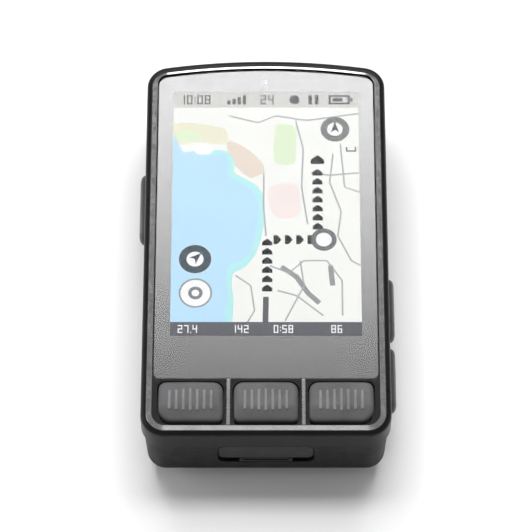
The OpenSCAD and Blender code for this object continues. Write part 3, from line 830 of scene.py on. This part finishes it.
def dense_rounded(x0, y0, x1, y1, radii, inset, steps=6, across=20, up=14):
    """Rounded rectangle moved inwards, with the same number of points at any inset."""
    x0, y0, x1, y1 = x0 + inset, y0 + inset, x1 - inset, y1 - inset
    limit = (y1 - y0) / 2 - 0.05
    r = [min(max(q - inset, 0.35), limit) for q in radii]
    corners = [(x0 + r[0], y0 + r[0], r[0], 180), (x1 - r[1], y0 + r[1], r[1], 270),
               (x1 - r[2], y1 - r[2], r[2], 0), (x0 + r[3], y1 - r[3], r[3], 90)]
    points = []
    for i, (cx, cy, radius, start) in enumerate(corners):
        points += arc(cx, cy, radius, start, start + 90, steps)
        nx, ny, next_r, next_start = corners[(i + 1) % 4]
        turn = math.radians(next_start)
        goal = Vector((nx + next_r * math.cos(turn), ny + next_r * math.sin(turn)))
        here = Vector(points[-1])
        pieces = across if i % 2 == 0 else up
        points += [tuple(here.lerp(goal, k / pieces)) for k in range(1, pieces)]
    return points


def ease(value):
    value = min(max(value, 0), 1)
    return value * value * (3 - 2 * value)


def add_ribs(bm, cx, cy, height_at):
    """Row of low rounded ribs that follow the cap's face."""
    for i in range(RIBS):
        share = 2 * i / (RIBS - 1) - 1
        x = cx + share * (RIBS - 1) / 2 * RIB_PITCH
        short = RIB_SHORTER * abs(share)
        y0, y1 = cy - RIB_FOOT + short, cy + RIB_HEAD - short
        rings = []
        for rise, inset in ((-0.1, 0), (0.3, 0.02), (0.7, 0.08), (0.92, 0.16), (1, 0.25)):
            outline = rounded(x - RIB_W / 2, y0, x + RIB_W / 2, y1, RIB_W / 2 - 0.005, inset)
            rings.append([(px, py, height_at(px, py) + rise * RIB_HEIGHT) for px, py in outline])
        add_rings(bm, rings, look=1)


def make_front_button(side, body, node, radii, plunger):
    low, high = box_mm(plunger)
    cx, cy = (low.x + high.x) / 2, (low.y + high.y) / 2
    button_low, button_high = box_mm(node)
    x0, x1 = cx - BUTTON_W / 2, cx + BUTTON_W / 2
    y0, y1 = cy - BUTTON_H / 2 + FOOT_GAP, cy + BUTTON_H / 2
    top = button_high.z
    flange_low, flange_high = shell_high.z - FLANGE_LOW, shell_high.z - FLANGE_HIGH

    def crown(x, y):
        """Height of the cap's face: a shallow dome with a rolled lower edge."""
        u, v = (x - cx) / (BUTTON_W / 2), (y - cy) / (BUTTON_H / 2)
        dome = DOME * (u * u + DOME_ALONG * v * v)
        roll = ROLL * ease((-v - 0.1) / 0.9)
        return top - RIB_HEIGHT - dome - roll

    bm = bmesh.new()
    rings = [[(x, y, flange_high) for x, y in dense_rounded(x0, y0, x1, y1, radii, 0)]]
    for drop, inset in ((0.75, 0), (0.5, 0.03), (0.28, 0.12), (0.13, 0.27), (0.04, 0.5), (0, 0.75)):
        outline = dense_rounded(x0, y0, x1, y1, radii, inset)
        rings.append([(x, y, crown(x, y) - drop) for x, y in outline])
    for step in range(1, 16):
        outline = dense_rounded(x0, y0, x1, y1, radii, 0.75 + step * 0.23)
        rings.append([(x, y, crown(x, y)) for x, y in outline])
    add_rings(bm, rings)
    add_ribs(bm, cx, cy, crown)
    flange = rounded(x0 - 0.45, y0 - FOOT_GAP + 0.25, x1 + 0.45, y1 + 0.5, 0.8)
    add_rings(bm, [[(x, y, z) for x, y in flange] for z in (flange_low, flange_high)])
    stem = circle(cx, cy, STEM_R, 24)
    add_rings(bm, [[(x, y, z) for x, y in stem] for z in (button_low.z, flange_low)])
    obj = piece(f"front_button_{side}_cap", bm, body, "front_button", node)
    obj.data.materials.append(button_black)
    obj.data.materials.append(rib_painted_highlight)
    smooth_by_angle(obj, 40)


make_front_button("left", "left_key", "front_button_left", (2.6, 1, 1.8, 1.5),
                  "front_plunger_left")
make_front_button("middle", "middle_key", "front_button_middle", (1, 1, 1.8, 1.8),
                  "front_plunger_middle")
make_front_button("right", "right_key", "front_button_right", (1, 2.6, 1.5, 1.8),
                  "front_plunger_right")


def make_film():
    """Bonding film as a thin dark rim; the picture stands in the place of its clear middle."""
    low, high = box_mm("optical_film")
    bm = bmesh.new()
    for face in band(block(low.x, low.y, high.x, high.y), block(*SCREEN)):
        bm.faces.new([bm.verts.new((x, y, low.z + 0.05)) for x, y in face])
    obj = piece("bonding_film_rim", bm, "case", "optical_film", "optical_film")
    dress(inner_black, obj)


make_film()


# ---- Floor, light and camera ----

def make_floor():
    bm = bmesh.new()
    bmesh.ops.create_grid(bm, x_segments=2, y_segments=2, size=FLOOR_HALF)
    mesh = bpy.data.meshes.new("floor")
    bm.to_mesh(mesh)
    bm.free()
    floor = bpy.data.objects.new("floor", mesh)
    bpy.context.scene.collection.objects.link(floor)
    look = Finish("floor_paper", (PAPER_NEAR,) * 3, 0.9)
    # painted light: the paper's grey rises from near to far so the far floor looks as bright as the
    # backdrop
    look.fade((0.25, 1.0), PAPER_NEAR, PAPER_FAR)
    look.bump(look.noise(1.2, 3), 0.02)
    dress(look.material, floor)
    floor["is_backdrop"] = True


def glow_card(name, centre, size, aim, near, far):
    """Soft box seen only in reflections and as light; near and far are its two edges' strengths."""
    bm = bmesh.new()
    bmesh.ops.create_grid(bm, x_segments=1, y_segments=1, size=0.5)
    mesh = bpy.data.meshes.new(name)
    bm.to_mesh(mesh)
    bm.free()
    card = bpy.data.objects.new(name, mesh)
    bpy.context.scene.collection.objects.link(card)
    card.scale = (size[0], size[1], 1)
    card.location = centre
    card.rotation_euler = (Vector(centre) - Vector(aim)).to_track_quat("Z", "Y").to_euler()
    card.visible_camera = False
    material = bpy.data.materials.new(name + "_light")
    material.use_nodes = True
    nodes, links = material.node_tree.nodes, material.node_tree.links
    nodes.clear()
    place = nodes.new("ShaderNodeTexCoord")
    split = nodes.new("ShaderNodeSeparateXYZ")
    ramp = nodes.new("ShaderNodeMapRange")
    ramp.interpolation_type = "SMOOTHSTEP"
    ramp.inputs["From Min"].default_value = -0.3
    ramp.inputs["From Max"].default_value = 0.3
    ramp.inputs["To Min"].default_value = far
    ramp.inputs["To Max"].default_value = near
    glow = nodes.new("ShaderNodeEmission")
    out = nodes.new("ShaderNodeOutputMaterial")
    links.new(place.outputs["Object"], split.inputs[0])
    links.new(split.outputs["Y"], ramp.inputs["Value"])
    links.new(ramp.outputs[0], glow.inputs["Strength"])
    links.new(glow.outputs[0], out.inputs["Surface"])
    mesh.materials.append(material)
    card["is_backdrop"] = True


def area_light(name, place, aim, size, power, mirrored=True):
    light = bpy.data.lights.new(name, "AREA")
    light.shape = "SQUARE"
    light.size = size
    light.energy = power
    obj = bpy.data.objects.new(name, light)
    bpy.context.scene.collection.objects.link(obj)
    obj.location = place
    obj.rotation_euler = (Vector(place) - Vector(aim)).to_track_quat("Z", "Y").to_euler()
    obj.visible_glossy = mirrored


def make_world(brightness):
    world = bpy.data.worlds.new("studio")
    world.use_nodes = True
    background = world.node_tree.nodes["Background"]
    background.inputs["Color"].default_value = (1, 1, 1, 1)
    background.inputs["Strength"].default_value = brightness
    bpy.context.scene.world = world


def make_camera():
    low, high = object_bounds()
    centre = (low + high) / 2
    reach = Vector((0, -math.sin(TILT), math.cos(TILT)))
    camera_data = bpy.data.cameras.new("camera")
    camera = bpy.data.objects.new("camera", camera_data)
    bpy.context.scene.collection.objects.link(camera)
    camera.location = centre + reach * CAMERA_DISTANCE
    camera.rotation_euler = reach.to_track_quat("Z", "Y").to_euler()
    seen = (high.y - low.y) * math.cos(TILT) + (high.z - low.z) * math.sin(TILT)
    camera_data.sensor_width = SENSOR_MM
    camera_data.lens = SENSOR_MM * CAMERA_DISTANCE * OBJECT_SHARE / seen
    camera_data.clip_start = 0.01
    bpy.context.scene.camera = camera


make_floor()
mirror_way = Vector((0, math.sin(TILT), math.cos(TILT)))
glow_card("overhead_card", mirror_way * CARD_DISTANCE, (0.36, 0.34), (0, 0, 0), 1.6, 9.4)
area_light("top_key", (0, 0.35, 0.8), (0, 0, 0), 0.6, 18.0, mirrored=False)
area_light("left_fill", (-0.8, 0.1, 0.3), (0, 0, 0), 0.5, 2.0)
make_world(BACKDROP)
make_camera()
bpy.context.scene.view_settings.view_transform = "Standard"
